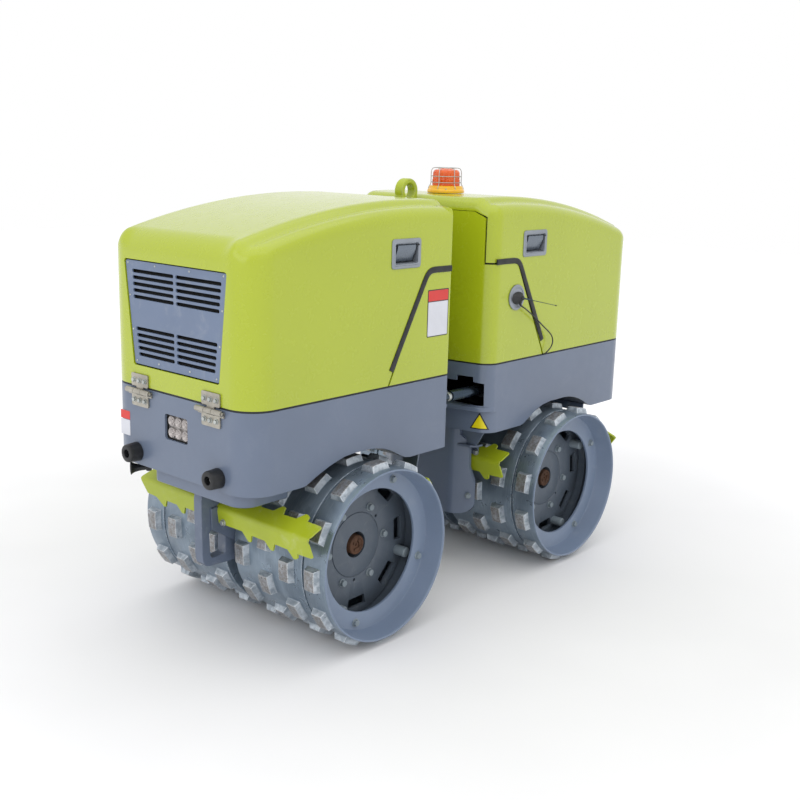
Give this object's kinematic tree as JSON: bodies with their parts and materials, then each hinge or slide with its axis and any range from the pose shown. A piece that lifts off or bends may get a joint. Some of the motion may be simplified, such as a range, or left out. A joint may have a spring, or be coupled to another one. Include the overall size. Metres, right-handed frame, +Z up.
{
  "type": "articulated padfoot trench roller",
  "caption": "Articulated trench roller: two hooded half units on padded steel drums, joined by a steering and oscillation joint, with lifting eye, beacon and scrapers.",
  "frame": {"origin": "on the ground, below the middle of the machine's length, on its centre plane", "axes": "+X towards the front unit's grille, +Y to the machine's left, +Z up"},
  "size_m": [2.04, 0.8766, 1.4329],
  "materials": {
    "lime_paint": "gloss",
    "grey_paint": "satin",
    "engine": "matte",
    "lamp_lens": "gloss",
    "rubber": "matte",
    "black_plastic": "matte",
    "steel": "satin",
    "latch_metal": "satin",
    "drum_steel": "worn",
    "hub_paint": "satin",
    "cast_steel": "matte",
    "cable_rubber": "satin",
    "beacon_base": "gloss",
    "beacon_lens": "gloss",
    "black_paint": "gloss",
    "chrome_rod": "polished"
  },
  "bodies": {
    "front_frame": {"front_tub": "grey_paint", "front_bulkhead": "lime_paint", "engine_block": "engine", "front_work_light": "lamp_lens", "front_buffers": "rubber", "horn": "black_plastic", "front_carrier": "grey_paint", "front_scrapers": "lime_paint", "front_hinge_leaves": "steel", "joint_housing": "grey_paint"},
    "front_hood": {"front_hood": "lime_paint", "front_grille": "grey_paint", "front_hood_latches": "latch_metal", "front_hood_straps": "steel"},
    "front_left_drum": {"front_left_drum": "drum_steel", "front_left_hub": "hub_paint"},
    "front_right_drum": {"front_right_drum": "drum_steel", "front_right_hub": "hub_paint"},
    "joint_knuckle": {"joint_knuckle": "cast_steel"},
    "rear_frame": {"rear_tub": "grey_paint", "rear_bulkhead": "lime_paint", "hydraulic_block": "engine", "rear_work_light": "lamp_lens", "rear_buffers": "rubber", "rear_carrier": "grey_paint", "rear_scrapers": "lime_paint", "rear_hinge_leaves": "steel", "joint_fork": "grey_paint", "joint_guard": "grey_paint", "lifting_eye": "lime_paint", "antenna_plate": "grey_paint", "antenna_whip": "black_plastic", "antenna_cable": "cable_rubber"},
    "rear_hood": {"rear_hood": "lime_paint", "rear_grille": "grey_paint", "rear_hood_latches": "latch_metal", "rear_hood_straps": "steel", "beacon_base": "beacon_base", "beacon_lens": "beacon_lens"},
    "rear_left_drum": {"rear_left_drum": "drum_steel", "rear_left_hub": "hub_paint"},
    "rear_right_drum": {"rear_right_drum": "drum_steel", "rear_right_hub": "hub_paint"},
    "steering_barrel": {"steering_barrel": "black_paint"},
    "steering_rod": {"steering_rod": "chrome_rod"}
  },
  "joints": [
    {"name": "front_hood_hinge", "type": "hinge", "parent": "front_frame", "child": "front_hood", "pos_m": [0.989, 0, 0.77459], "axis": [0, 1, 0], "range_deg": [0, 60]},
    {"name": "rear_hood_hinge", "type": "hinge", "parent": "rear_frame", "child": "rear_hood", "pos_m": [-0.989, 0, 0.77459], "axis": [0, -1, 0], "range_deg": [0, 60]},
    {"name": "front_left_drum_spin", "type": "hinge", "parent": "front_frame", "child": "front_left_drum", "pos_m": [0.514, 0.22, 0.28959], "axis": [0, 1, 0], "continuous": true},
    {"name": "front_right_drum_spin", "type": "hinge", "parent": "front_frame", "child": "front_right_drum", "pos_m": [0.514, -0.22, 0.28959], "axis": [0, 1, 0], "continuous": true},
    {"name": "oscillation", "type": "hinge", "parent": "front_frame", "child": "joint_knuckle", "pos_m": [-0.003, 0, 0.63959], "axis": [1, 0, 0], "range_deg": [-6, 6]},
    {"name": "steering", "type": "hinge", "parent": "joint_knuckle", "child": "rear_frame", "pos_m": [-0.003, 0, 0.63959], "axis": [0, 0, 1], "range_deg": [-30, 30]},
    {"name": "rear_left_drum_spin", "type": "hinge", "parent": "rear_frame", "child": "rear_left_drum", "pos_m": [-0.52, 0.22, 0.28959], "axis": [0, 1, 0], "continuous": true},
    {"name": "rear_right_drum_spin", "type": "hinge", "parent": "rear_frame", "child": "rear_right_drum", "pos_m": [-0.52, -0.22, 0.28959], "axis": [0, 1, 0], "continuous": true},
    {"name": "cylinder_swing", "type": "hinge", "parent": "rear_frame", "child": "steering_barrel", "pos_m": [-0.433, 0.255, 0.68659], "axis": [0, 0, 1], "range_deg": [-8, 8]},
    {"name": "cylinder_stroke", "type": "slide", "parent": "steering_barrel", "child": "steering_rod", "axis": [1, 0, 0], "range_m": [-0.135, 0.135]}
  ],
  "couplings": [
    {"joint": "cylinder_swing", "follows": "steering", "ratio": -0.14555},
    {"joint": "cylinder_stroke", "follows": "steering", "m_per_rad": 0.24805}
  ]
}
